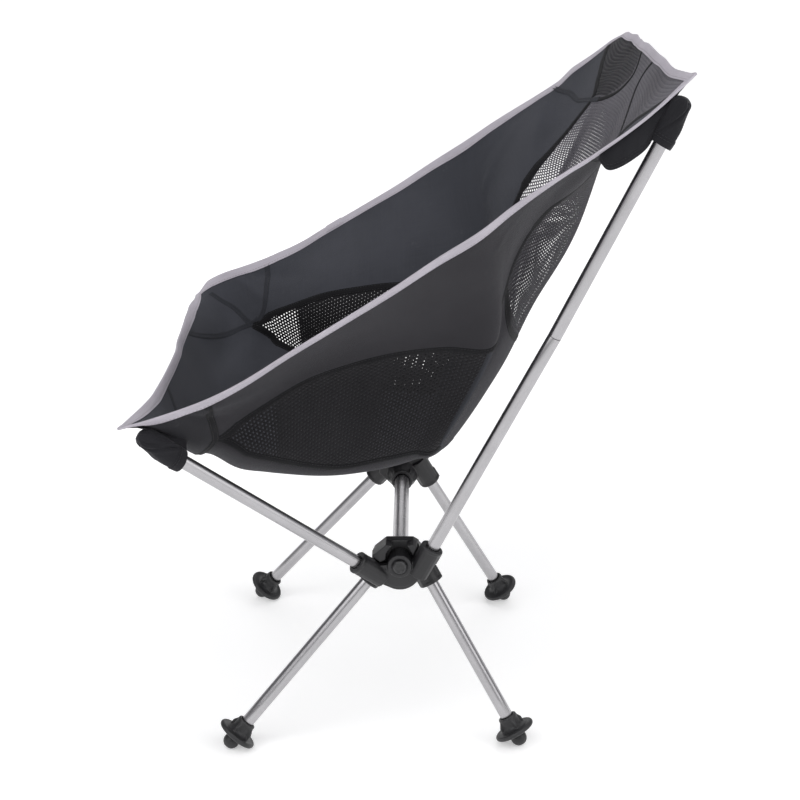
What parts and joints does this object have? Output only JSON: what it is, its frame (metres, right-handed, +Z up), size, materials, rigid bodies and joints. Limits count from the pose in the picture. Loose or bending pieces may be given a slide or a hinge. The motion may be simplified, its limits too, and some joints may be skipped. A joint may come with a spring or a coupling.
{
  "type": "folding camping chair",
  "caption": "Low ultralight camping chair: pole frame on two pivoting hubs with splayed ball-footed legs, and a deep sling seat of fabric and mesh hung from the pole tips.",
  "frame": {"origin": "on the floor, at the centre of the bounding box", "axes": "+Z up, the sitter faces -Y, +X is the sitter's left hand"},
  "size_m": [0.4938, 0.5006, 0.662],
  "materials": {
    "aluminium_tube": "satin anodised silver",
    "black_nylon": "satin moulded black nylon",
    "steel_pin": "plain turned pin",
    "foot_rubber": "matte black elastomer",
    "shock_cord": "braided black elastic cord",
    "charcoal_fabric": "tight woven polyester, charcoal",
    "black_mesh": "knitted polyester mesh, see-through",
    "grey_binding": "light grey woven edge tape"
  },
  "bodies": {
    "base": {"spreader_bar": "aluminium_tube", "spreader_cord": "shock_cord", "left_leg_hub": "black_nylon", "left_pivot_pin": "steel_pin", "left_pin_cap": "black_nylon", "right_leg_hub": "black_nylon", "right_pivot_pin": "steel_pin", "right_pin_cap": "black_nylon"},
    "seat_frame": {"left_pole_yoke": "black_nylon", "left_front_pole": "aluminium_tube", "left_front_pole_tip": "black_nylon", "left_front_pole_cord": "shock_cord", "left_back_pole_lower": "aluminium_tube", "left_back_pole_upper": "aluminium_tube", "left_back_pole_ferrule": "aluminium_tube", "left_back_pole_tip": "black_nylon", "left_back_pole_cord": "shock_cord", "left_front_pocket": "charcoal_fabric", "left_back_pocket": "charcoal_fabric", "left_side_panel": "charcoal_fabric", "left_hip_mesh": "black_mesh", "right_pole_yoke": "black_nylon", "right_front_pole": "aluminium_tube", "right_front_pole_tip": "black_nylon", "right_front_pole_cord": "shock_cord", "right_back_pole_lower": "aluminium_tube", "right_back_pole_upper": "aluminium_tube", "right_back_pole_ferrule": "aluminium_tube", "right_back_pole_tip": "black_nylon", "right_back_pole_cord": "shock_cord", "right_front_pocket": "charcoal_fabric", "right_back_pocket": "charcoal_fabric", "right_side_panel": "charcoal_fabric", "right_hip_mesh": "black_mesh", "seat_panel": "charcoal_fabric", "lumbar_panel": "charcoal_fabric", "back_mesh": "black_mesh", "edge_binding": "grey_binding"},
    "left_front_leg_assembly": {"left_front_leg": "aluminium_tube", "left_front_foot": "foot_rubber", "left_front_leg_cord": "shock_cord"},
    "left_rear_leg_assembly": {"left_rear_leg": "aluminium_tube", "left_rear_foot": "foot_rubber", "left_rear_leg_cord": "shock_cord"},
    "right_front_leg_assembly": {"right_front_leg": "aluminium_tube", "right_front_foot": "foot_rubber", "right_front_leg_cord": "shock_cord"},
    "right_rear_leg_assembly": {"right_rear_leg": "aluminium_tube", "right_rear_foot": "foot_rubber", "right_rear_leg_cord": "shock_cord"}
  },
  "joints": [
    {"name": "seat_frame_rock", "type": "hinge", "parent": "base", "child": "seat_frame", "pos_m": [0, -0.00506, 0.1902], "axis": [1, 0, 0], "range_deg": [0, 4]},
    {"name": "left_front_leg_pull", "type": "slide", "parent": "base", "child": "left_front_leg_assembly", "axis": [0.1698, -0.6431, -0.7467], "range_m": [0, 0.032], "stiffness_N_per_m": 150, "springref_m": -0.04},
    {"name": "left_rear_leg_pull", "type": "slide", "parent": "base", "child": "left_rear_leg_assembly", "axis": [0.1779, 0.4827, -0.8576], "range_m": [0, 0.032], "stiffness_N_per_m": 150, "springref_m": -0.04},
    {"name": "right_front_leg_pull", "type": "slide", "parent": "base", "child": "right_front_leg_assembly", "axis": [-0.1698, -0.6431, -0.7467], "range_m": [0, 0.032], "stiffness_N_per_m": 150, "springref_m": -0.04},
    {"name": "right_rear_leg_pull", "type": "slide", "parent": "base", "child": "right_rear_leg_assembly", "axis": [-0.1779, 0.4827, -0.8576], "range_m": [0, 0.032], "stiffness_N_per_m": 150, "springref_m": -0.04}
  ]
}
